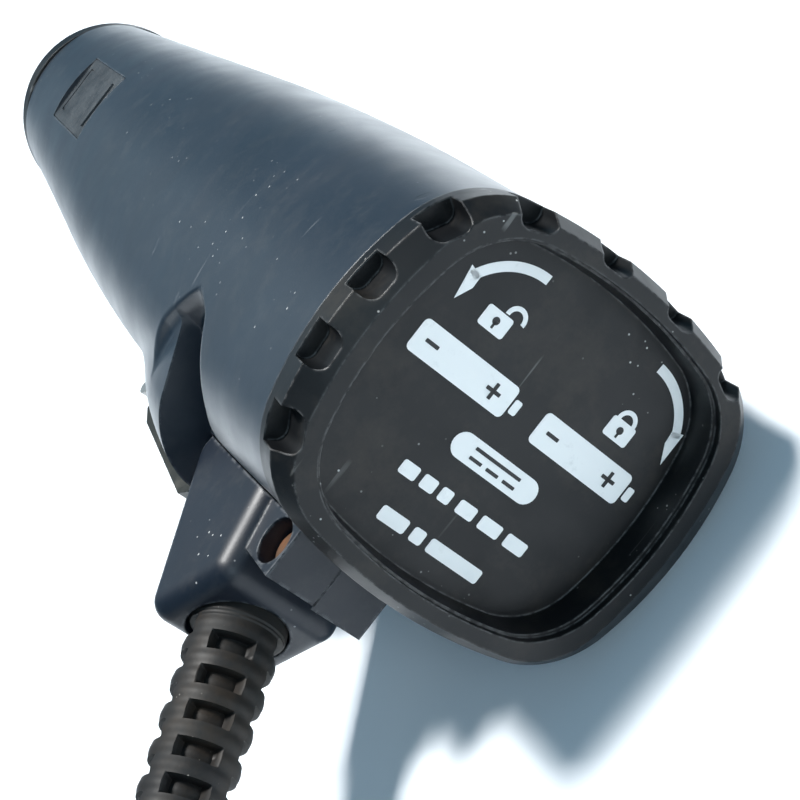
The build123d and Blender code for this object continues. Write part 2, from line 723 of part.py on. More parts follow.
# ---- lead: strain relief, jacket, ferrule and inner wires ----
LEAD_RADIUS = LEAD_DIAMETER / 2
RELIEF_WINDOWS = 12         # in each of four rows, the rows beside one another staggered
RELIEF_FIRST = 2.4          # from the lead housing's face to the first window
WINDOW_WIDTH = 5.8
WINDOW_TURN = 33.0          # turn of the rows about the lead
with BuildPart() as strain_relief:
    for start, length, radius in [(-5.4, 2.0, 5.5), (-3.4, 3.4, 4.75), (-0.9, 2.9, 6.5)]:
        with BuildSketch(along_lead(start)):
            Circle(radius)
        extrude(amount=length)
    with BuildSketch(along_lead(2)):
        Circle(6.3)
    with BuildSketch(along_lead(RELIEF_LENGTH)):
        Circle(5.2)
    loft()
    with BuildSketch(along_lead(-6)):
        Circle(LEAD_RADIUS + 0.1)
    extrude(amount=RELIEF_LENGTH + 8, mode=Mode.SUBTRACT)
    for window in range(2 * RELIEF_WINDOWS):
        row = WINDOW_TURN + 90 * (window % 2)
        with BuildSketch(along_lead(RELIEF_FIRST + window * RELIEF_PITCH / 2)):
            Rectangle(16, WINDOW_WIDTH, rotation=row)
        extrude(amount=RELIEF_PITCH / 2 - 0.1, mode=Mode.SUBTRACT)
strain_relief.part.label = "strain_relief"
export_step(strain_relief.part, "parts/strain_relief.step")

with BuildPart() as lead_jacket:
    with BuildSketch(along_lead(-11)):
        Circle(LEAD_RADIUS)
    extrude(amount=RELIEF_LENGTH + 11)
lead_jacket.part.label = "lead_jacket"
export_step(lead_jacket.part, "parts/lead_jacket.step")

with BuildPart() as lead_ferrule:
    with BuildSketch(along_lead(-9.5)):
        Circle(LEAD_RADIUS + 1.2)
        Circle(LEAD_RADIUS + 0.02, mode=Mode.SUBTRACT)
    extrude(amount=3.5)
lead_ferrule.part.label = "lead_ferrule"
export_step(lead_ferrule.part, "parts/lead_ferrule.step")


def route(points):
    """A path of straight runs and tangent arcs, each arc as large as its two runs allow."""
    corners = [Vector(point) for point in points]
    radii = []
    for before, corner, after in zip(corners, corners[1:], corners[2:]):
        turn = radians((corner - before).get_angle(after - corner))
        shorter = min((corner - before).length, (after - corner).length)
        radii.append(0.45 * shorter / tan(turn / 2))
    with BuildLine(mode=Mode.PRIVATE) as path:
        FilletPolyline(*corners, radius=radii)
    return path.wire(), radii


def tube(path, radius):
    """A round tube along a path."""
    with BuildPart(mode=Mode.PRIVATE) as solid:
        with BuildSketch(Plane(origin=path @ 0, z_dir=path % 0)):
            Circle(radius)
        sweep(path=path)
    return solid.part


WIRE_ROUTE = [(36.4, -31.8), (38.2, -27.5), (41.5, -20.6), (46.5, -19.4), (134.0, -19.4),
              (140.8, -19.2), (143.4, -17.8), (145.9, -17.4)]  # forward, up
with BuildPart() as lead_wires:
    for left in (-0.75, 0.75):
        wire_path, _ = route([at(left, forward, up) for forward, up in WIRE_ROUTE])
        add(tube(wire_path, 0.6))
lead_wires.part.label = "lead_wires"
export_step(lead_wires.part, "parts/lead_wires.step")

# ---- the lead on the bench: a run down from the relief, a coil and a short tail ----
relief_tip = along_lead(RELIEF_LENGTH).origin
CORD_ROUTE = [
    relief_tip,
    (-96.6, -135.5, 29.9),
    (-122.3, -142.7, 21.5),
    (-148.0, -139.1, 10.5),
    (-169.8, -124.6, 3.8),
    (-182.2, -103.0, 3.3),
]
cord_path, cord_radii = route(CORD_ROUTE)
with BuildPart() as cord:
    add(tube(cord_path, LEAD_RADIUS))
cord.part.label = "cord"
export_step(cord.part, "parts/cord.step")

COIL_CENTRE = (-141.0, -88.0)
COIL_INNER = 27.0           # centre line of the innermost turn
COIL_OUTER = 43.8
COIL_HEIGHT = 13.2
with BuildPart() as cord_coil:
    with BuildSketch(Plane.XY):
        with Locations(COIL_CENTRE):
            Circle(COIL_OUTER + LEAD_RADIUS)
            Circle(COIL_INNER - LEAD_RADIUS, mode=Mode.SUBTRACT)
    extrude(amount=COIL_HEIGHT)
cord_coil.part.label = "cord_coil"
export_step(cord_coil.part, "parts/cord_coil.step")

# ---- pickup clamp at the far end, lying on its side, handles towards the coil ----
GRIP_MIDDLE = -174.0        # x of the closed jaws' meeting plane
GRIP_REAR = -36.0           # y of the handle ends
GRIP_THICKNESS = 16.0
GRIP_PIVOT = 38.0           # from the handle ends
THROAT = 58.0
THROAT_RADIUS = 4.0
HEAD_START = 46.0
GRIP_LENGTH = 72.0
JAW_GAP = 0.1


def grip(height=0.0):
    """Plane over the bench: local x is along the clamp from its handle ends, y across it."""
    return Plane(origin=(GRIP_MIDDLE, GRIP_REAR, height), x_dir=(0, 1, 0), z_dir=(0, 0, 1))


TAIL_ROUTE = [
    (COIL_CENTRE[0] - COIL_OUTER, COIL_CENTRE[1], 9.9),
    (-185.6, -72.0, 7.6),
    (-185.2, -56.0, 6.9),
    (GRIP_MIDDLE - 9, GRIP_REAR - 4, 8.0),
]
tail_path, tail_radii = route(TAIL_ROUTE)
with BuildPart() as cord_tail:
    add(tube(tail_path, LEAD_RADIUS))
cord_tail.part.label = "cord_tail"
export_step(cord_tail.part, "parts/cord_tail.step")


def jaw_outline(hand):
    """Outline of one jaw on the bench plane; hand is 1 for the fixed jaw, -1 for the moving one."""
    near = hand * JAW_GAP / 2
    with BuildSketch(grip(), mode=Mode.PRIVATE) as outline:
        with BuildLine():
            Polyline((0, hand * 13.2), (0, hand * 5.6), (2, hand * 5.2), (33, hand * 1.6),
                     (HEAD_START - 4, near), (GRIP_LENGTH, near), (GRIP_LENGTH, hand * 7),
                     (GRIP_LENGTH - 5, hand * 12), (HEAD_START, hand * 12.4), (34, hand * 10.2),
                     (12, hand * 12.2), (0, hand * 13.2))
        make_face()
        with Locations((THROAT, 0)):
            Circle(THROAT_RADIUS, mode=Mode.SUBTRACT)
    return outline.sketch


KNUCKLE = 3.6
# Each jaw's own knuckles and the heights where it is cut back round the pin.
JAWS = [
    ("jaw_fixed", 1, [(0, 5.2), (13.6, GRIP_THICKNESS)], [(5.2, 13.6)]),
    ("jaw_moving", -1, [(5.4, 10.6)], [(0, 5.4), (10.6, GRIP_THICKNESS)]),
]
for name, hand, own, cleared in JAWS:
    with BuildPart() as jaw:
        extrude(jaw_outline(hand), amount=GRIP_THICKNESS)
        # Pocket for the core, open towards the other jaw.
        with BuildSketch(grip(3)):
            with Locations((THROAT, 0)):
                Circle(8.6)
                Circle(THROAT_RADIUS + 0.8, mode=Mode.SUBTRACT)
        extrude(amount=GRIP_THICKNESS - 6, mode=Mode.SUBTRACT)
        for low, high in cleared:
            with BuildSketch(grip(low)):
                with Locations((GRIP_PIVOT, 0)):
                    Circle(KNUCKLE + 0.4)
            extrude(amount=high - low, mode=Mode.SUBTRACT)
        for low, high in own:
            with BuildSketch(grip(low)):
                with Locations((GRIP_PIVOT, 0)):
                    Circle(KNUCKLE)
                with Locations((GRIP_PIVOT, hand * 4.2)):
                    Rectangle(2 * KNUCKLE - 1, 5)
            extrude(amount=high - low)
        with BuildSketch(grip()):
            with Locations((GRIP_PIVOT, 0)):
                Circle(1.5 if hand > 0 else 1.55)
        extrude(amount=GRIP_THICKNESS, mode=Mode.SUBTRACT)
        if hand > 0:
            with BuildSketch(Plane(origin=(GRIP_MIDDLE - 9, GRIP_REAR, 8), z_dir=(0, -1, 0))):
                Circle(5.0)
                Circle(3.3, mode=Mode.SUBTRACT)
            extrude(amount=4)
    jaw.part.label = name
    export_step(jaw.part, f"parts/{name}.step")

for name, hand in [("core_fixed", 1), ("core_moving", -1)]:
    with BuildPart() as core:
        with BuildSketch(grip(3.1)):
            with Locations((THROAT, 0)):
                Circle(8.5)
                Circle(THROAT_RADIUS + 0.9, mode=Mode.SUBTRACT)
            with Locations((THROAT, -hand * (15 - JAW_GAP / 2))):
                Rectangle(40, 30, mode=Mode.SUBTRACT)
        extrude(amount=GRIP_THICKNESS - 6.2)
    core.part.label = name
    export_step(core.part, f"parts/{name}.step")

with BuildPart() as jaw_pin:
    with BuildSketch(grip(0.4)):
        with Locations((GRIP_PIVOT, 0)):
            Circle(1.5)
    extrude(amount=GRIP_THICKNESS - 0.8)
jaw_pin.part.label = "jaw_pin"
export_step(jaw_pin.part, "parts/jaw_pin.step")

with BuildPart() as jaw_spring:
    with BuildLine() as jaw_spring_path:
        Helix(pitch=0.9, height=1.8, radius=2.4, center=(GRIP_MIDDLE, GRIP_REAR + GRIP_PIVOT, 11.2))
    with BuildSketch(Plane(origin=jaw_spring_path.line @ 0, z_dir=jaw_spring_path.line % 0)):
        Circle(0.35)
    sweep(path=jaw_spring_path.line, is_frenet=True)
jaw_spring.part.label = "jaw_spring"
export_step(jaw_spring.part, "parts/jaw_spring.step")

section = pi * LEAD_RADIUS ** 2
for name, piece, path, radii in [("cord", cord, cord_path, cord_radii),
                                 ("cord_tail", cord_tail, tail_path, tail_radii)]:
    print(name, "length", round(path.length, 1), "arc radii", [round(radius) for radius in radii],
          "volume over section x length", round(piece.part.volume / (section * path.length), 4))
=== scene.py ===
"""Looks for the timing light: camera, lead, detailed shell and fittings, materials, light."""
import json
from math import atan2, cos, hypot, pi, radians, sin, sqrt

import bmesh
import bpy
import numpy as np
from mathutils import Matrix, Vector


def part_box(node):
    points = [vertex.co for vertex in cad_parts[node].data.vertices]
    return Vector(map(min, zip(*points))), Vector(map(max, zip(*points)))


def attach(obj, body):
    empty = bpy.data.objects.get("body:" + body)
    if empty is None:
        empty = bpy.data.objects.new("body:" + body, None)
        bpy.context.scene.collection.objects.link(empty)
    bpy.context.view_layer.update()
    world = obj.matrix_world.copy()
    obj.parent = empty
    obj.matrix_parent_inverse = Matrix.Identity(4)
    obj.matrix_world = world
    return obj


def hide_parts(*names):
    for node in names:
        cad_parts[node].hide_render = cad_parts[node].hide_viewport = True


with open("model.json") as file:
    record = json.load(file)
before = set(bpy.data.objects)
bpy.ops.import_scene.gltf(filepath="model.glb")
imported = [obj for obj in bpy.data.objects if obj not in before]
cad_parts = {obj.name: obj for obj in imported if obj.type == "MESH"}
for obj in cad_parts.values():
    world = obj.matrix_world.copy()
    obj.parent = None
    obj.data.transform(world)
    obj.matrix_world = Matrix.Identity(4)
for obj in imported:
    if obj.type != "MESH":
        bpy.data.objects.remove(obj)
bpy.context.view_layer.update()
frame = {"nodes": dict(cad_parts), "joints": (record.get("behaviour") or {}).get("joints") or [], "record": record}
NODES = frame["nodes"]
JOINTS = {joint["name"]: joint for joint in frame["joints"]}

# The tool's own directions, from the joint that its battery cap turns on.
MM = 0.001
TAIL = Vector(JOINTS["cap_twist"]["pos_m"])
FORWARD = -Vector(JOINTS["cap_twist"]["axis"]).normalized()
UP = Vector((1, 0, 0))
LEFT = UP.cross(FORWARD)
TO_ROW = np.array([LEFT, FORWARD, UP]) * MM


def at(left, forward, up):
    """A point given in the tool's own directions, in millimetres."""
    return TAIL + (LEFT * left + FORWARD * forward + UP * up) * MM


# ---- camera ----
def add_camera():
    """The photograph's viewing angle: from behind, left and a little above, rolled well over."""
    eye = at(108.05, -164.88, 2.74)
    target = at(17.23, 0, -4.16)
    level = (target - eye).to_track_quat("-Z", "Y")
    roll = Matrix.Rotation(radians(-53.585), 4, "Z")
    data = bpy.data.cameras.new("camera")
    data.lens = 77.4
    data.sensor_width = 36
    data.clip_start = 0.01
    camera = bpy.data.objects.new("camera", data)
    camera.matrix_world = Matrix.Translation(eye) @ level.to_matrix().to_4x4() @ roll
    bpy.context.scene.collection.objects.link(camera)
    bpy.context.scene.camera = camera


add_camera()


# ---- materials ----
class Nodes:
    """Short-hand for laying out one material's node tree."""

    def __init__(self, name):
        self.material = bpy.data.materials.new(name)
        self.material.use_nodes = True
        self.tree = self.material.node_tree
        self.shader = self.tree.nodes["Principled BSDF"]
        self.place = self.add("ShaderNodeTexCoord").outputs["Object"]

    def add(self, kind, **settings):
        node = self.tree.nodes.new(kind)
        for key, value in settings.items():
            setattr(node, key, value)
        return node

    def link(self, source, socket):
        self.tree.links.new(source, socket)

    def noise(self, scale, detail=4.0, stretch=None, rough=0.55):
        """Cloudy noise, 0 to 1; stretch lengthens it along the axes."""
        node = self.add("ShaderNodeTexNoise")
        node.inputs["Scale"].default_value = scale
        node.inputs["Detail"].default_value = detail
        node.inputs["Roughness"].default_value = rough
        place = self.place
        if stretch:
            mapping = self.add("ShaderNodeMapping")
            mapping.inputs["Scale"].default_value = stretch[0]
            mapping.inputs["Rotation"].default_value = stretch[1]
            self.link(self.place, mapping.inputs["Vector"])
            place = mapping.outputs["Vector"]
        self.link(place, node.inputs["Vector"])
        return node.outputs["Fac"]

    def ramp(self, value, low, high, start=0.0, end=1.0):
        """Remaps a value from low..high to start..end and clamps it."""
        node = self.add("ShaderNodeMapRange")
        node.inputs["From Min"].default_value = low
        node.inputs["From Max"].default_value = high
        node.inputs["To Min"].default_value = start
        node.inputs["To Max"].default_value = end
        self.link(value, node.inputs["Value"])
        return node.outputs["Result"]

    def math(self, operation, first, second):
        node = self.add("ShaderNodeMath", operation=operation)
        for socket, value in zip(node.inputs, (first, second)):
            if isinstance(value, (int, float)):
                socket.default_value = value
            else:
                self.link(value, socket)
        return node.outputs["Value"]

    def mix(self, share, first, second):
        """Blend of two colours, each a tuple or a socket."""
        node = self.add("ShaderNodeMix", data_type="RGBA")
        self.link(share, node.inputs["Factor"])
        for socket, value in ((node.inputs[6], first), (node.inputs[7], second)):
            if isinstance(value, tuple):
                socket.default_value = (*value, 1)
            else:
                self.link(value, socket)
        return node.outputs[2]

    def specks(self, scale, size):
        """1 in small round specks, 0 elsewhere."""
        node = self.add("ShaderNodeTexVoronoi")
        node.inputs["Scale"].default_value = scale
        self.link(self.place, node.inputs["Vector"])
        return self.ramp(node.outputs["Distance"], size, size * 0.6)

    def scratches(self, scale, turn, amount):
        """Short fine lines, mostly in one direction, in patches."""
        lines = self.noise(scale, 2.0, ((0.03, 1.0, 1.0), turn), 0.4)
        patches = self.noise(scale * 0.06, 3.0)
        thin = self.ramp(lines, 0.70, 0.73)
        return self.math("MULTIPLY", thin, self.ramp(patches, 0.62 - amount, 0.66 - amount))

    def edges(self, radius):
        """1 along sharp outer edges, from the difference a rounded normal makes."""
        bevel = self.add("ShaderNodeBevel", samples=4)
        bevel.inputs["Radius"].default_value = radius
        geometry = self.add("ShaderNodeNewGeometry")
        dot = self.add("ShaderNodeVectorMath", operation="DOT_PRODUCT")
        self.link(bevel.outputs["Normal"], dot.inputs[0])
        self.link(geometry.outputs["Normal"], dot.inputs[1])
        return self.ramp(dot.outputs["Value"], 0.985, 0.90)

    def bump(self, heights, bevel=0.0):
        """Stacks bumps, each (value, strength, depth), on an optionally rounded normal."""
        normal = None
        if bevel:
            rounded = self.add("ShaderNodeBevel", samples=6)
            rounded.inputs["Radius"].default_value = bevel
            normal = rounded.outputs["Normal"]
        for value, strength, depth in heights:
            node = self.add("ShaderNodeBump")
            node.inputs["Strength"].default_value = strength
            node.inputs["Distance"].default_value = depth
            self.link(value, node.inputs["Height"])
            if normal:
                self.link(normal, node.inputs["Normal"])
            normal = node.outputs["Normal"]
        self.link(normal, self.shader.inputs["Normal"])

    def set(self, **values):
        for key, value in values.items():
            socket = self.shader.inputs[key.replace("_", " ")]
            if hasattr(value, "is_linked"):
                self.link(value, socket)
            else:
                socket.default_value = value


def moulded(name, dark, light, rough, grain, edge_wear_and_highlight, dust, bevel=0.0003, nicks=0.35, coat=0.0):
    """Worn moulded plastic: two tones, fine grain, scratches, nicks, dust, and light edges that are partly chipped
    wear and partly a painted highlight.
    """
    n = Nodes(name)
    clouds = n.ramp(n.noise(38, 5), 0.35, 0.68)
    colour = n.mix(clouds, dark, light)
    dusty = n.math("MULTIPLY", n.ramp(n.noise(210, 6, None, 0.7), 0.5, 0.72), dust)
    colour = n.mix(dusty, colour, (0.26, 0.24, 0.20))
    scratch = n.scratches(620, (0.2, 0.5, 1.0), 0.06)
    cross = n.scratches(480, (0.9, 0.1, 2.2), 0.03)
    lines = n.math("MAXIMUM", scratch, cross)
    colour = n.mix(n.math("MULTIPLY", lines, 0.22), colour, (0.20, 0.22, 0.24))
    specks = n.math("MULTIPLY", n.specks(520, 0.10), n.ramp(n.noise(60, 3), 0.5, 0.62))
    colour = n.mix(n.math("MULTIPLY", specks, 0.7), colour, (0.55, 0.56, 0.56))
    pits = n.math("MULTIPLY", n.scratches(260, (1.3, 0.4, 0.3), 0.05), nicks)
    colour = n.mix(pits, colour, (0.004, 0.005, 0.007))
    # Sharp edges are lightened: partly chipped wear, partly a painted highlight along the edges.
    chipped_and_highlit_edge = n.math("MULTIPLY", n.edges(bevel * 1.6),
                     n.ramp(n.noise(900, 3), 0.52 - 0.12 * edge_wear_and_highlight, 0.62 - 0.1 * edge_wear_and_highlight))
    colour = n.mix(n.math("MULTIPLY", chipped_and_highlit_edge, edge_wear_and_highlight), colour, (0.16, 0.17, 0.18))
    roughness = n.math("ADD", n.ramp(n.noise(90, 6), 0.3, 0.7, rough - 0.07, rough + 0.08),
                       n.math("MULTIPLY", lines, 0.18))
    n.set(Base_Color=colour, Roughness=roughness, Coat_Weight=coat, Coat_Roughness=0.34)
    n.bump([(n.noise(2600, 3), grain, 0.00006), (n.noise(120, 3), 0.025, 0.0005),
            (pits, 0.4, -0.0002)], bevel)
    return n.material


def label_face(name):
    """The cap: satin black moulding, faintly brown with dust where the label is."""
    n = Nodes(name)
    clouds = n.ramp(n.noise(55, 5), 0.35, 0.7)
    colour = n.mix(clouds, (0.0045, 0.005, 0.006), (0.008, 0.009, 0.010))
    brown = n.math("MULTIPLY", n.ramp(n.noise(75, 7, None, 0.72), 0.5, 0.75), 0.30)
    colour = n.mix(brown, colour, (0.075, 0.062, 0.048))
    lines = n.math("MAXIMUM", n.scratches(700, (0.3, 1.1, 0.5), 0.05),
                   n.scratches(560, (1.2, 0.2, 0.9), 0.04))
    colour = n.mix(n.math("MULTIPLY", lines, 0.35), colour, (0.30, 0.30, 0.29))
    specks = n.math("MULTIPLY", n.specks(620, 0.10), n.ramp(n.noise(85, 3), 0.5, 0.62))
    colour = n.mix(n.math("MULTIPLY", specks, 0.75), colour, (0.62, 0.62, 0.60))
    # Sharp edges are lightened: partly chipped wear, partly a painted highlight along the rim and label edges.
    chipped_and_highlit_edge = n.math("MULTIPLY", n.edges(0.0004), n.ramp(n.noise(1000, 3), 0.42, 0.56))
    colour = n.mix(n.math("MULTIPLY", chipped_and_highlit_edge, 0.5), colour, (0.20, 0.20, 0.20))
    n.set(Base_Color=colour, Specular_IOR_Level=0.32,
          Roughness=n.ramp(n.noise(130, 6), 0.3, 0.7, 0.30, 0.47))
    n.bump([(n.noise(2400, 3), 0.16, 0.00005), (n.noise(300, 4), 0.08, 0.0002)], 0.00035)
    return n.material


def rubber(name, grime, tone=1.0):
    """Matt black rubber with brown grime; a tone below 1 darkens all of it, as painted shade for hollows."""
    n = Nodes(name)
    dark, light = (0.007 * tone, 0.007 * tone, 0.008 * tone), (0.015 * tone, 0.015 * tone, 0.014 * tone)
    colour = n.mix(n.ramp(n.noise(80, 5), 0.3, 0.7), dark, light)
    dirt = n.math("MULTIPLY", n.ramp(n.noise(150, 7, None, 0.72), 0.42, 0.66), grime)
    colour = n.mix(dirt, colour, (0.050 * tone, 0.032 * tone, 0.018 * tone))
    specks = n.math("MULTIPLY", n.specks(700, 0.09), n.ramp(n.noise(110, 3), 0.5, 0.6))
    colour = n.mix(n.math("MULTIPLY", specks, 0.6), colour, (0.4, 0.38, 0.34))
    n.set(Base_Color=colour, Specular_IOR_Level=0.35,
          Roughness=n.ramp(n.noise(160, 5), 0.3, 0.7, 0.48, 0.66))
    n.bump([(n.noise(1500, 5), 0.22, 0.0001), (n.noise(220, 4), 0.14, 0.0003)])
    return n.material


def metal(name, colour, second, rough, stain=0.0):
    """Plated or bare metal with drawn-grain roughness and stains."""
    n = Nodes(name)
    tone = n.mix(n.ramp(n.noise(120, 6), 0.35, 0.7), colour, second)
    rust = n.math("MULTIPLY", n.ramp(n.noise(420, 8, None, 0.75), 0.38, 0.6), stain)
    tone = n.mix(rust, tone, (0.16, 0.062, 0.022))
    n.set(Base_Color=tone, Metallic=n.ramp(rust, 0.0, 1.0, 1.0, 0.15),
          Roughness=n.ramp(n.noise(300, 5, ((1, 0.1, 1), (0, 0, 0))), 0.3, 0.7, rough, rough + 0.2))
    n.bump([(n.noise(900, 6), 0.1 + 0.5 * stain, 0.00012)])
    return n.material


def printed(name, colour):
    """Screen-printed ink, slightly thin in places and scuffed."""
    n = Nodes(name)
    thin = n.math("MULTIPLY", n.ramp(n.noise(420, 6, None, 0.7), 0.6, 0.78), 0.35)
    tone = n.mix(thin, colour, tuple(part * 0.55 for part in colour))
    n.set(Base_Color=tone, Roughness=n.ramp(n.noise(200, 4), 0.3, 0.7, 0.42, 0.6))
    n.bump([(n.noise(2200, 3), 0.12, 0.00004)])
    return n.material


def plain(name, dark, light, rough, scale=90, grain=0.15, depth=0.0001):
    """A quiet finish for inner parts: two tones, uneven gloss and grain."""
    n = Nodes(name)
    colour = n.mix(n.ramp(n.noise(scale, 6), 0.35, 0.68), dark, light)
    n.set(Base_Color=colour, Roughness=n.ramp(n.noise(scale * 2, 5), 0.3, 0.7, rough, rough + 0.15))
    n.bump([(n.noise(scale * 12, 4), grain, depth)])
    return n.material


def clear(name, tint, rough):
    """Clear moulded plastic or glass, lightly scuffed."""
    n = Nodes(name)
    scuffs = n.scratches(700, (0.4, 0.4, 0.4), 0.04)
    n.set(Base_Color=(*tint, 1), Transmission_Weight=1.0, IOR=1.49,
          Roughness=n.math("ADD", n.math("MULTIPLY", scuffs, 0.3), rough))
    n.bump([(n.noise(1200, 3), 0.03, 0.00003)])
    return n.material


def make_materials():
    """One finish for each of the record's material slots."""
    return {
        "navy_shell": moulded("navy_shell", (0.004, 0.010, 0.020), (0.007, 0.014, 0.026),
                              0.36, 0.20, 0.55, 0.05, 0.0004, 0.9, 0.6),
        "navy_housing": moulded("navy_housing", (0.003, 0.007, 0.015), (0.006, 0.011, 0.021),
                                0.42, 0.20, 0.75, 0.05, 0.0005),
        "black_plastic": label_face("black_plastic"),
        "lever_plastic": moulded("lever_plastic", (0.008, 0.008, 0.005), (0.016, 0.015, 0.010),
                                 0.45, 0.3, 0.3, 0.2),
        "black_rubber": rubber("black_rubber", 0.35),
        "gasket_rubber": rubber("gasket_rubber", 0.15),
        "sheet_steel": metal("sheet_steel", (0.55, 0.55, 0.53), (0.42, 0.42, 0.41), 0.25, 0.1),
        "rusty_steel": metal("rusty_steel", (0.20, 0.13, 0.09), (0.12, 0.075, 0.05), 0.5, 0.95),
        "brass": metal("brass", (0.62, 0.45, 0.20), (0.45, 0.32, 0.14), 0.3, 0.1),
        "cell_can": plain("cell_can", (0.42, 0.34, 0.20), (0.52, 0.44, 0.28), 0.35),
        "card_tube": plain("card_tube", (0.30, 0.22, 0.13), (0.42, 0.32, 0.20), 0.75, 200, 0.4),
        "board": plain("board", (0.17, 0.10, 0.03), (0.24, 0.15, 0.05), 0.45, 300, 0.3),
        "component": plain("component", (0.02, 0.025, 0.05), (0.035, 0.04, 0.08), 0.35),
        "ferrite": plain("ferrite", (0.045, 0.045, 0.048), (0.075, 0.075, 0.078), 0.6, 300, 0.4),
        "copper": metal("copper", (0.55, 0.22, 0.09), (0.42, 0.15, 0.06), 0.3),
        "reflector_metal": metal("reflector_metal", (0.85, 0.85, 0.84), (0.72, 0.72, 0.71), 0.06),
        "clear_lens": clear("clear_lens", (0.93, 0.96, 0.97), 0.04),
        "tube_glass": clear("tube_glass", (0.95, 0.97, 1.0), 0.02),
        "badge": plain("badge", (0.018, 0.024, 0.030), (0.05, 0.058, 0.065), 0.42, 260, 0.7, 0.0004),
        "clamp_plastic": moulded("clamp_plastic", (0.012, 0.012, 0.013), (0.020, 0.020, 0.020),
                                 0.42, 0.35, 0.4, 0.08),
    }


FINISH = make_materials()
# Darker, grimier rubber for the floors of the relief's windows: more grime, and painted shade in the hollows.
GRIME_AND_SHADE_RUBBER = rubber("grime_and_shade_rubber", 0.9, 0.35)
WHITE_INK = printed("white_ink", (0.86, 0.87, 0.86))
BLACK_INK = printed("black_ink", (0.012, 0.012, 0.013))


def finish_frame():
    """Gives every carried-over CAD node the finish of its slot."""
    for part in frame["record"]["subparts"]:
        node = NODES[part["node"]]
        node.data.materials.clear()
        node.data.materials.append(FINISH[part["material_slot"]])


finish_frame()


def new_piece(name, mesh, body, slot, material=None):
    """Links a mesh as a piece that rides on a body with a slot's finish."""
    piece = bpy.data.objects.new(name, mesh)
    bpy.context.scene.collection.objects.link(piece)
    mesh.materials.append(material or FINISH[slot])
    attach(piece, body)
    return piece


def grid_mesh(name, rows, closed_ends=False):
    """Mesh from rings of points, each joined to the next. The last joins the first, or, with
    closed ends, the first and the last are each filled by a face."""
    count, around = rows.shape[:2]
    mesh = bpy.data.meshes.new(name)
    corners = np.arange(count * around).reshape(count, around)
    nxt = np.roll(corners, -1, axis=1)
    quads = []
    last = count if not closed_ends else count - 1
    for row in range(last):
        ahead = (row + 1) % count
        quads.append(np.stack([corners[row], nxt[row], nxt[ahead], corners[ahead]], axis=1))
    faces = np.concatenate(quads).tolist()
    if closed_ends:
        faces += [corners[0][::-1].tolist(), corners[-1].tolist()]
    mesh.from_pydata(rows.reshape(-1, 3).tolist(), [], faces)
    work = bmesh.new()
    work.from_mesh(mesh)
    bmesh.ops.recalc_face_normals(work, faces=work.faces)
    work.to_mesh(mesh)
    work.free()
    return mesh


def smooth(mesh, angle=35):
    """Smooth shading, kept sharp where faces meet at more than an angle."""
    mesh.polygons.foreach_set("use_smooth", [True] * len(mesh.polygons))
    work = bmesh.new()
    work.from_mesh(mesh)
    for edge in work.edges:
        if len(edge.link_faces) == 2 and edge.calc_face_angle(0) > radians(angle):
            edge.smooth = False
    work.to_mesh(mesh)
    work.free()


# ---- body shell: barrel, lever boss, hollows and neck, in millimetres ----
BODY_REAR = 7.2
BODY_FRONT = 212.0
NECK_FRONT = 213.7
NECK_RADIUS = 19.0
NECK_BORE = 17.6
WALL = 2.6
HOLLOW_WALL = 1.6           # least wall behind a hollow
CELL_BORE = 21.4            # room for the cells and their tube
CELL_FRONT = 100.0
GROOVE_RADIUS = 22.7        # the bayonet's ring groove in the collar
COLLAR_BORE = 21.1
# Forward, half width, top, bottom, fullness, corner radius.
BARREL = np.array([
    (BODY_REAR, 28.3, 24.0, 24.0, 0.84, 14.0),
    (50.0, 26.6, 25.2, 26.3, 0.82, 15.5),
    (90.0, 25.1, 24.8, 27.0, 0.81, 16.5),
    (130.0, 23.7, 23.4, 25.8, 0.79, 16.5),
    (170.0, 22.0, 21.8, 23.0, 0.77, 16.5),
    (BODY_FRONT, 20.1, 20.1, 20.1, 0.75, 16.5),
])


def circle_through(a, b, c):
    """Centre and radius of the circle through three points."""
    (ax, ay), (bx, by), (cx, cy) = a, b, c
    d = 2 * (ax * (by - cy) + bx * (cy - ay) + cx * (ay - by))
    x = ((ax**2 + ay**2) * (by - cy) + (bx**2 + by**2) * (cy - ay) + (cx**2 + cy**2) * (ay - by)) / d
    y = ((ax**2 + ay**2) * (cx - bx) + (bx**2 + by**2) * (ax - cx) + (cx**2 + cy**2) * (bx - ax)) / d
    return np.array((x, y)), hypot(ax - x, ay - y)


def crossing(first, second, towards):
    """Where two circles cross, taking the crossing that lies furthest towards a point."""
    (a, ra), (b, rb) = first, second
    gap = hypot(*(b - a))
    along = (ra**2 - rb**2 + gap**2) / (2 * gap)
    off = sqrt(ra**2 - along**2)
    unit = (b - a) / gap
    normal = np.array((-unit[1], unit[0]))
    return max((a + unit * along + normal * off * sign for sign in (1, -1)),
               key=lambda point: point @ np.array(towards))


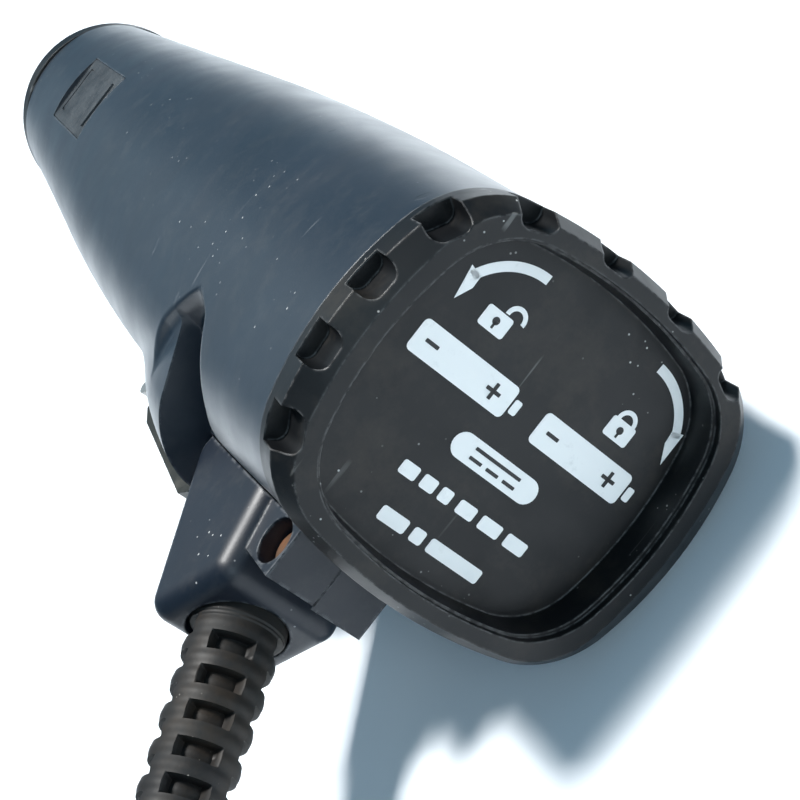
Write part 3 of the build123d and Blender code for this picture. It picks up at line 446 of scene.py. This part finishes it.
def outline_radius(half_width, top, bottom, fullness, corner, angles):
    """Polar radius of a bulging rounded rectangle at angles from left, towards up."""
    x, high, low = half_width * fullness, top * fullness, -bottom * fullness
    corners = [(x, low), (x, high), (-x, high), (-x, low)]
    bulges = [(half_width, 0), (0, top), (-half_width, 0), (0, -bottom)]
    discs = []
    for place, bulge in enumerate(bulges):
        centre, radius = circle_through(corners[place], bulge, corners[(place + 1) % 4])
        discs.append((centre, radius - corner))
    tips = [crossing(discs[place - 1], discs[place], corners[place]) for place in range(4)]
    directions = np.stack([np.cos(angles), np.sin(angles)], axis=1)

    def beyond(reach):
        """Distance from the region that all four shrunken discs share."""
        points = directions * reach[:, None]
        nearest = np.min([np.hypot(*(points - tip).T) for tip in tips], axis=0)
        for centre, radius in discs:
            away = points - centre
            foot = centre + away / np.hypot(*away.T)[:, None] * radius
            shared = np.all([np.hypot(*(foot - other).T) <= limit + 1e-6 for other, limit in discs],
                            axis=0)
            nearest = np.where(shared, np.minimum(nearest, np.hypot(*(points - foot).T)), nearest)
        return nearest

    low_reach, high_reach = np.full(len(angles), corner), np.full(len(angles), 45.0)
    for _ in range(30):
        middle = (low_reach + high_reach) / 2
        inside = beyond(middle) <= corner
        low_reach = np.where(inside, middle, low_reach)
        high_reach = np.where(inside, high_reach, middle)
    return low_reach


def smooth_between(forward, values):
    """A value along the barrel, smoothly through the stations."""
    places = BARREL[:, 0]
    slopes = np.gradient(values, places, axis=0)
    place = int(np.clip(np.searchsorted(places, forward) - 1, 0, len(places) - 2))
    span = places[place + 1] - places[place]
    t = (forward - places[place]) / span
    return ((2*t**3 - 3*t**2 + 1) * values[place] + (t**3 - 2*t**2 + t) * span * slopes[place]
            + (3*t**2 - 2*t**3) * values[place + 1] + (t**3 - t**2) * span * slopes[place + 1])


# The boss: an oval in plan that widens upwards, with a rounded, slightly rising underside.
BOSS_REAR = 52.5
BOSS_MIDDLE = 46.0
BOSS_REACH = 46.5           # middle to front
BOSS_REACH_BACK = 30.0
BOSS_LOW_WIDTH = 15.0
BOSS_WIDENING = 10.0
BOSS_FOOT = -33.0
BOSS_HEIGHT = 24.0
BOSS_UNDERSIDE = -33.8
BOSS_RISE = 0.06
BOSS_CORNER = 8.5


def boss_distance(left, forward, up):
    """Signed distance, roughly, to the swelling under the barrel that holds the lever."""
    depth = np.clip((up - BOSS_FOOT) / BOSS_HEIGHT, 0, 1)
    width = BOSS_LOW_WIDTH + BOSS_WIDENING * depth
    reach = np.where(forward > BOSS_MIDDLE, BOSS_REACH, BOSS_REACH_BACK)
    plan = np.sqrt((left / width) ** 2 + ((forward - BOSS_MIDDLE) / reach) ** 2)
    beyond_side = (plan - 1) * width + BOSS_CORNER
    beyond_below = BOSS_UNDERSIDE + (forward - 49) * BOSS_RISE - up + BOSS_CORNER
    outside = np.hypot(np.maximum(beyond_side, 0), np.maximum(beyond_below, 0))
    body = np.minimum(np.maximum(beyond_side, beyond_below), 0) + outside - BOSS_CORNER
    return np.maximum(body, BOSS_REAR - forward)


# The hollow beside the lever boss: at each height, how far forward it reaches and how far
# from the middle its floor lies.
HOLLOW_UP = (-33.0, -28.5, -25.0, -21.5, -17.0, -12.5, -7.7)
HOLLOW_FRONT = (63.4, 63.2, 63.0, 60.5, 56.5, 51.0, 45.0)
HOLLOW_WIDTH = (9.3, 9.3, 9.3, 11.6, 17.0, 21.5, 26.2)


def hollow_distance(left, forward, up):
    """Signed distance, roughly, inside the hollows that narrow the shell above the boss."""
    width = np.interp(up, HOLLOW_UP, HOLLOW_WIDTH)
    front = np.interp(up, HOLLOW_UP, HOLLOW_FRONT)
    ahead = np.clip((forward - front) / 3.0 + 0.5, 0, 1)
    behind = np.clip((48.0 - forward) / 28.0, 0, 1)
    fade = ahead**2 * (3 - 2 * ahead) + behind**2 * (3 - 2 * behind)
    above = np.clip((up + 12.0) / 8.0, 0, 1)
    return np.abs(left) - (width + 17.0 * fade + 6.0 * above)


def soft_least(first, second, blend):
    """The smaller of two values, rounded where they are alike."""
    share = np.clip(0.5 + 0.5 * (second - first) / blend, 0, 1)
    return second * (1 - share) + first * share - blend * share * (1 - share)


def boss_reach(forward, angles):
    """How far out the boss reaches in each direction, 0 where there is none."""
    reaches = np.linspace(18.0, 42.0, 97)
    left, up = np.outer(reaches, np.cos(angles)), np.outer(reaches, np.sin(angles))
    field = np.where(up < -12, boss_distance(left, forward, up), 9.0)
    last = len(reaches) - 1 - np.argmax(field[::-1] < 0, axis=0)
    last = np.minimum(last, len(reaches) - 2)
    columns = np.arange(len(angles))
    before, after = field[last, columns], field[last + 1, columns]
    share = np.clip(before / (before - after + 1e-9), 0, 1)
    found = (field < 0).any(axis=0)
    return np.where(found, reaches[last] + share * (reaches[1] - reaches[0]), 0.0)


BOSS_BLEND = 2.2            # how softly the boss runs into the barrel


def shell_rows():
    """Rings of the shell's skin: outside from rear to front, the neck, then the inside back."""
    around = 720
    angles = np.linspace(0, 2 * pi, around, endpoint=False)
    stations = np.array([outline_radius(*row[1:], angles) for row in BARREL])
    outside = np.concatenate([np.linspace(BODY_REAR + 0.35, 20, 24), np.linspace(20.5, 110, 270),
                              np.linspace(111, BODY_FRONT - 0.3, 90)])
    rows = []

    def ring(forward, radius):
        radius = np.broadcast_to(radius, (around,))
        rows.append(np.stack([radius * np.cos(angles), np.full(around, forward),
                              radius * np.sin(angles)], axis=1))

    ring(BODY_REAR, smooth_between(BODY_REAR, stations) - 0.35)
    for forward in outside:
        barrel = smooth_between(forward, stations)
        if 14 < forward < 100:
            low, high = np.full(around, 15.0), barrel + 8
            for _ in range(20):
                middle = (low + high) / 2
                left, up = middle * np.cos(angles), middle * np.sin(angles)
                inside = hollow_distance(left, forward, up) < 0
                low, high = np.where(inside, middle, low), np.where(inside, high, middle)
            barrel = np.where(np.sin(angles) < -0.05, soft_least(low, barrel, 0.8), barrel)
            boss = boss_reach(forward, angles)
            share = np.clip(0.5 + 0.5 * (boss - barrel) / BOSS_BLEND, 0, 1)
            barrel = barrel * (1 - share) + boss * share + BOSS_BLEND * share * (1 - share)
        ring(forward, barrel)
    ring(BODY_FRONT, smooth_between(BODY_FRONT, stations) - 0.3)
    for forward, radius in [(BODY_FRONT, NECK_RADIUS), (NECK_FRONT, NECK_RADIUS),
                            (NECK_FRONT, NECK_BORE), (199, NECK_BORE)]:
        ring(forward, radius)
    skin_forward = np.array([row[0, 1] for row in rows])
    skin_radius = np.array([np.hypot(row[:, 0], row[:, 2]) for row in rows])
    for forward in (198, 160, 120, *range(100, 24, -2), 23.5):
        near = np.abs(skin_forward - forward) < 3.5
        thin = np.minimum(smooth_between(forward, stations) - WALL,
                          skin_radius[near].min(axis=0) - HOLLOW_WALL)
        ring(forward, np.maximum(thin, CELL_BORE) if forward <= CELL_FRONT else thin)
    for forward, radius in [(23.0, 22.9), (18.8, GROOVE_RADIUS), (14.6, GROOVE_RADIUS),
                            (14.5, COLLAR_BORE), (BODY_REAR, COLLAR_BORE)]:
        ring(forward, radius)
    return np.array(rows)


def box_cutter(name, low, high, corner=0.0):
    """A box in the tool's directions, with its edges rounded if a corner is given."""
    mesh = bpy.data.meshes.new(name)
    work = bmesh.new()
    bmesh.ops.create_cube(work, size=1)
    for vertex in work.verts:
        spot = [low[i] + (vertex.co[i] + 0.5) * (high[i] - low[i]) for i in range(3)]
        vertex.co = at(*spot)
    if corner:
        bmesh.ops.bevel(work, geom=list(work.edges), offset=corner * MM, segments=4, affect="EDGES")
    bmesh.ops.recalc_face_normals(work, faces=work.faces)
    work.to_mesh(mesh)
    work.free()
    return mesh


def cut(piece, mesh):
    """Takes a cutter's mesh out of a piece."""
    tool = bpy.data.objects.new("cutter", mesh)
    bpy.context.scene.collection.objects.link(tool)
    modifier = piece.modifiers.new("cut", "BOOLEAN")
    modifier.operation = "DIFFERENCE"
    modifier.solver = "FAST"
    modifier.object = tool
    settled = bpy.data.meshes.new_from_object(
        piece.evaluated_get(bpy.context.evaluated_depsgraph_get()))
    piece.modifiers.clear()
    piece.data = settled
    bpy.data.objects.remove(tool)


BADGE_LENGTH, BADGE_HEIGHT = 30.0, 14.0
BADGE_SLOPE = atan2(1.7, 40)


def badge_block(name, low, high, length, height, corner):
    """A block square to the badge, from one level to another above its middle."""
    badge_low, badge_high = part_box("side_badge")
    middle = (badge_low + badge_high) / 2
    along = FORWARD * cos(BADGE_SLOPE) - LEFT * sin(BADGE_SLOPE)
    out = UP.cross(along).normalized()
    mesh = box_cutter(name, (low, -length / 2, -height / 2), (high, length / 2, height / 2), corner)
    for vertex in mesh.vertices:
        local = vertex.co - TAIL
        vertex.co = (middle + out * local.dot(LEFT) + along * local.dot(FORWARD)
                     + UP * local.dot(UP))
    return mesh


def add_badge():
    """A blank plate lying below the skin in its pocket, with a raised inner field."""
    piece = new_piece("badge_plate", badge_block("badge_plate", -0.44, -0.15, BADGE_LENGTH,
                                                 BADGE_HEIGHT, 0.12), "tool", "badge")
    smooth(piece.data, 50)
    field = new_piece("badge_field", badge_block("badge_field", -0.3, 0.1, BADGE_LENGTH - 8,
                                                 BADGE_HEIGHT - 4.5, 0.18), "tool", "badge")
    smooth(field.data, 50)
    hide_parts("side_badge")


def add_body():
    """The navy shell with its lever slot and badge pocket, and its lug for the lead housing."""
    mesh = grid_mesh("body", shell_rows() @ TO_ROW + np.array(TAIL))
    piece = new_piece("body", mesh, "tool", "navy_shell")
    cut(piece, box_cutter("slot", (-5.4, 54, -40), (5.4, 87.4, -22)))
    cut(piece, badge_block("pocket", -0.45, 5.5, BADGE_LENGTH + 0.3, BADGE_HEIGHT + 0.3, 0.0))
    smooth(piece.data, 38)
    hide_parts("body_shell")

    lug = box_cutter("lug", (-7.45, 16.0, -31.6), (0, 22.2, -20), 0.5)
    smooth(lug, 50)
    new_piece("body_lug", lug, "tool", "navy_shell", FINISH["navy_housing"])


add_body()
add_badge()


# ---- strain relief ----
RAKE = radians(40)
LEAD_DIRECTION = (FORWARD * -sin(RAKE) - UP * cos(RAKE)).normalized()
POD_FACE = at(0, 29.0, -40.55)
RELIEF_LENGTH = 62.0
RELIEF_PITCH = 4.8
RELIEF_FIRST = 2.4
RELIEF_WINDOWS = 12         # in each of the two turns
RELIEF_ROOT = 6.26          # radius at the housing
RELIEF_COLLAR = 6.45
RELIEF_TAPER = 1.1
WINDOW_TURN = 33            # degrees
WINDOW_HALF_WIDTH = 2.9
WINDOW_DEPTH = 1.75


def add_relief():
    """Ribbed sleeve: four staggered rows of windows between rounded ribs."""
    around, along = 288, 520
    across = LEFT
    upright = LEAD_DIRECTION.cross(across)
    angles = np.linspace(0, 2 * pi, around, endpoint=False)
    rows = []
    places = np.concatenate([[-0.9, -0.75], np.linspace(-0.5, RELIEF_LENGTH - 0.15, along),
                             [RELIEF_LENGTH]])
    for place in places:
        radius = np.full(around, RELIEF_ROOT - RELIEF_TAPER * max(place - 2, 0) / (RELIEF_LENGTH - 2))
        if place < 2:
            radius[:] = RELIEF_COLLAR
        if place in (-0.9, RELIEF_LENGTH):
            radius -= 0.25
        for window in range(2 * RELIEF_WINDOWS):
            start = RELIEF_FIRST + window * RELIEF_PITCH / 2
            middle = start + RELIEF_PITCH / 4
            depth_along = np.clip((RELIEF_PITCH / 4 - abs(place - middle)) / 0.22 + 0.5, 0, 1)
            if depth_along <= 0:
                continue
            turn = radians(WINDOW_TURN + 90 * (window % 2))
            for side in (0, pi):
                offset = (angles - turn - side + pi) % (2 * pi) - pi
                sideways = np.abs(np.sin(offset)) * radius
                near = np.abs(offset) < pi / 2
                share = np.clip((WINDOW_HALF_WIDTH - sideways) / 0.25 + 0.5, 0, 1) * near
                radius = radius - share * depth_along * WINDOW_DEPTH
        if RELIEF_FIRST < place < 60:
            radius = radius - 0.08 - 0.08 * np.cos(2 * pi * (place - RELIEF_FIRST) / (RELIEF_PITCH / 2))
        # Two fine mould lines run along the sleeve.
        for turn in (radians(78), radians(84)):
            offset = (angles - turn + pi) % (2 * pi) - pi
            radius = radius + 0.16 * np.exp(-(offset / 0.03) ** 2)
        rows.append(np.array(POD_FACE) + (np.array(LEAD_DIRECTION)[None] * place
                    + np.outer(np.cos(angles) * radius, across)
                    + np.outer(np.sin(angles) * radius, upright)) * MM)
    piece = new_piece("relief_sleeve", grid_mesh("relief_sleeve", np.array(rows), True),
                      "tool", "black_rubber")
    piece.data.materials.append(GRIME_AND_SHADE_RUBBER)
    # The windows' floors, the faces that lie well below the ribs, take the darker rubber: more grime, and painted
    # shade.
    for face in piece.data.polygons:
        offset = face.center - POD_FACE
        place = offset.dot(LEAD_DIRECTION)
        outside = RELIEF_ROOT - RELIEF_TAPER * max(place / MM - 2, 0) / (RELIEF_LENGTH - 2)
        if place > 0 and (offset - LEAD_DIRECTION * place).length < (outside - 0.7) * MM:
            face.material_index = 1
    smooth(piece.data, 60)
    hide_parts("strain_relief")
    return piece


relief = add_relief()


# ---- the print on the cap's label ----
LABEL_DEPTH = 5.0
INK = 0.05


class Print:
    """Flat shapes on the cap's label floor; x is to the right seen from behind, y is up."""

    def __init__(self, name, lift, material):
        self.name, self.lift, self.material = name, lift, material
        self.work = bmesh.new()

    def shape(self, points):
        """A closed outline of points, as thick as the ink."""
        level = LABEL_DEPTH - self.lift
        verts = [self.work.verts.new(at(-x, level, y)) for x, y in points]
        base = self.work.faces.new(verts)
        solid = bmesh.ops.extrude_face_region(self.work, geom=[base])
        moved = [item for item in solid["geom"] if isinstance(item, bmesh.types.BMVert)]
        bmesh.ops.translate(self.work, vec=FORWARD * INK * MM, verts=moved)

    def bar(self, x0, x1, y0, y1, corner):
        """A rectangle with rounded corners."""
        points = []
        for cx, cy, start in ((x1 - corner, y1 - corner, 0), (x0 + corner, y1 - corner, 90),
                              (x0 + corner, y0 + corner, 180), (x1 - corner, y0 + corner, 270)):
            for step in range(7):
                turn = radians(start + step * 15)
                points.append((cx + corner * cos(turn), cy + corner * sin(turn)))
        self.shape(points)

    def arc(self, x, y, radius, width, start, end):
        """A band of a circle from one angle to another, in degrees."""
        turns = [radians(start + (end - start) * step / 40) for step in range(41)]
        outer = [(x + (radius + width / 2) * cos(t), y + (radius + width / 2) * sin(t)) for t in turns]
        inner = [(x + (radius - width / 2) * cos(t), y + (radius - width / 2) * sin(t)) for t in turns]
        self.shape(outer + inner[::-1])

    def done(self):
        bmesh.ops.recalc_face_normals(self.work, faces=self.work.faces)
        mesh = bpy.data.meshes.new(self.name)
        self.work.to_mesh(mesh)
        self.work.free()
        new_piece(self.name, mesh, "cap", "black_plastic", self.material)


def add_print():
    """Turning arrows, padlocks open and closed, two cells and plain bars, in white."""
    white = Print("cap_print", 0.06, WHITE_INK)
    # Curved arrows in the upper corners: a band, with a straight barbed tip at its lower end.
    white.arc(-8.6, 7.4, 9.3, 1.25, 90, 153)
    white.shape([(-17.75, 12.6), (-15.95, 12.2), (-15.9, 10.6), (-17.0, 8.4)])
    white.arc(10.6, 7.9, 9.3, 1.25, 25, 88)
    white.shape([(19.75, 12.8), (18.1, 12.2), (18.3, 10.6), (19.75, 8.2)])
    # Padlocks: open at the left, closed at the right.
    white.bar(-12.9, -8.9, 7.9, 10.6, 0.4)
    white.arc(-9.0, 10.9, 1.25, 0.6, -10, 185)
    white.bar(9.9, 13.9, 6.9, 9.6, 0.4)
    white.arc(11.9, 9.6, 1.25, 0.6, 0, 180)
    # The two cells in line, with a stud at one end of each.
    for start in (-18.2, 2.2):
        white.bar(start, start + 15.6, 0.7, 5.0, 0.7)
        white.bar(start + 15.9, start + 17.0, 1.9, 3.8, 0.3)
    # Pill, a row of small marks and a row of bars.
    white.bar(-5.8, 8.2, -5.9, -2.5, 1.68)
    for start, end in ((-9.2, -6.6), (-5.8, -3.6), (-2.8, -1.0), (0.2, 3.0), (4.0, 7.4), (8.4, 11.8)):
        white.bar(start, end, -11.1, -9.3, 0.35)
    for start, end in ((-7.7, -3.4), (-2.5, -0.6), (0.3, 8.9)):
        white.bar(start, end, -16.9, -15.0, 0.4)
    white.done()
    black = Print("cap_print_marks", 0.11, BLACK_INK)
    # Minus and plus on each cell.
    for start in (-18.2, 2.2):
        black.bar(start + 1.6, start + 3.6, 2.6, 3.1, 0.1)
        black.bar(start + 11.6, start + 13.8, 2.6, 3.1, 0.1)
        black.bar(start + 12.45, start + 12.95, 1.75, 3.95, 0.1)
    # Lines on the pill.
    black.bar(-2.6, 5.0, -3.8, -3.35, 0.1)
    for start in (-2.6, 0.2, 3.0):
        black.bar(start, start + 2.0, -5.1, -4.65, 0.1)
    # Keyholes of the padlocks.
    for x, y in ((-10.9, 9.35), (11.9, 8.35)):
        black.arc(x, y, 0.25, 0.5, 0, 359)
        black.bar(x - 0.16, x + 0.16, y - 1.0, y - 0.05, 0.05)
    black.done()


add_print()

# ---- the lead on the bench ----
LEAD_DIAMETER = 0.0065
RELIEF_TIP = POD_FACE + LEAD_DIRECTION * RELIEF_LENGTH * MM
COIL_CENTRE = Vector((-0.141, -0.088, 0))
COIL_INNER = 0.027
COIL_OUTER = 0.0438
COIL_START = radians(200)
COIL_TURNS = 5 + 20 / 360
POINTS_PER_TURN = 16
COIL_LOW = 0.0033           # height of the lower turns
COIL_CLIMB = 0.0066


def coil_points():
    """Turns of the coil: a flat spiral inwards on the bench, then outwards on top of it."""
    points = []
    count = round(COIL_TURNS * POINTS_PER_TURN)
    widening = 1 / cos(pi / POINTS_PER_TURN)
    for step in range(1, count):
        turn = COIL_TURNS * step / count
        inwards = min(turn, COIL_TURNS - turn) / (COIL_TURNS / 2)
        radius = (COIL_OUTER - LEAD_DIAMETER / 2 - (COIL_OUTER - COIL_INNER - LEAD_DIAMETER) * inwards)
        radius *= widening
        climb = min(max((turn - COIL_TURNS / 2 + 0.12) / 0.24, 0), 1)
        height = COIL_LOW + COIL_CLIMB * climb
        angle = COIL_START - 2 * pi * turn
        points.append(COIL_CENTRE + Vector((radius * cos(angle), radius * sin(angle), height)))
    return points


def add_cord():
    """The whole lead from the relief's tip to the clamp, as one smooth line."""
    route = [
        RELIEF_TIP,
        Vector((-0.0966, -0.1355, 0.0299)),
        Vector((-0.1223, -0.1427, 0.0215)),
        Vector((-0.1480, -0.1391, 0.0105)),
        Vector((-0.1698, -0.1246, 0.0038)),
        *coil_points(),
        Vector((-0.1848, -0.0880, 0.0099)),
        Vector((-0.1856, -0.0720, 0.0076)),
        Vector((-0.1852, -0.0560, 0.0069)),
        Vector((-0.1830, -0.0400, 0.0080)),
    ]
    data = bpy.data.curves.new("lead", "CURVE")
    data.dimensions = "3D"
    data.bevel_depth = LEAD_DIAMETER / 2
    data.bevel_resolution = 6
    data.resolution_u = 6
    spline = data.splines.new("NURBS")
    spline.points.add(len(route) - 1)
    for point, place in zip(spline.points, route):
        point.co = (*place, 1)
    spline.order_u = 3
    spline.use_endpoint_u = True
    piece = bpy.data.objects.new("lead", data)
    bpy.context.scene.collection.objects.link(piece)
    data.materials.append(FINISH["black_rubber"])
    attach(piece, "tool")
    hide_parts("cord", "cord_coil", "cord_tail")
    return piece


lead = add_cord()


# ---- floor and light ----
def add_stage():
    """A plain pale floor under the part."""
    bpy.ops.mesh.primitive_plane_add(size=6, location=(0, 0, -0.0001))
    floor = bpy.context.object
    floor.name = "floor"
    material = bpy.data.materials.new("floor")
    material.use_nodes = True
    shader = material.node_tree.nodes["Principled BSDF"]
    shader.inputs["Base Color"].default_value = (0.90, 0.95, 1.0, 1)
    shader.inputs["Roughness"].default_value = 0.9
    floor.data.materials.append(material)


def add_area_light(name, place, aim, size, power, colour):
    """A soft square light at one place, turned to another."""
    data = bpy.data.lights.new(name, "AREA")
    data.size = size
    data.energy = power
    data.color = colour
    light = bpy.data.objects.new(name, data)
    turn = (aim - place).to_track_quat("-Z", "Y").to_matrix().to_4x4()
    light.matrix_world = Matrix.Translation(place) @ turn
    bpy.context.scene.collection.objects.link(light)


def add_world():
    """A dim, bluish surround, and the plain colour transform."""
    world = bpy.data.worlds.new("world")
    world.use_nodes = True
    background = world.node_tree.nodes["Background"]
    background.inputs["Color"].default_value = (0.42, 0.74, 1, 1)
    background.inputs["Strength"].default_value = 0.23
    bpy.context.scene.world = world
    bpy.context.scene.view_settings.view_transform = "Standard"


add_stage()
add_world()
middle = at(0, 80, 0)
add_area_light("overhead", Vector((0.15, 0.10, 1.0)), middle, 0.16, 17, (1, 0.99, 0.97))
add_area_light("window", Vector((-0.5, 1.3, 1.1)), middle, 1.4, 3.0, (0.80, 0.93, 1))
add_area_light("fill", Vector((0.05, -0.90, 0.50)), middle, 0.5, 2.3, (0.72, 0.90, 1))
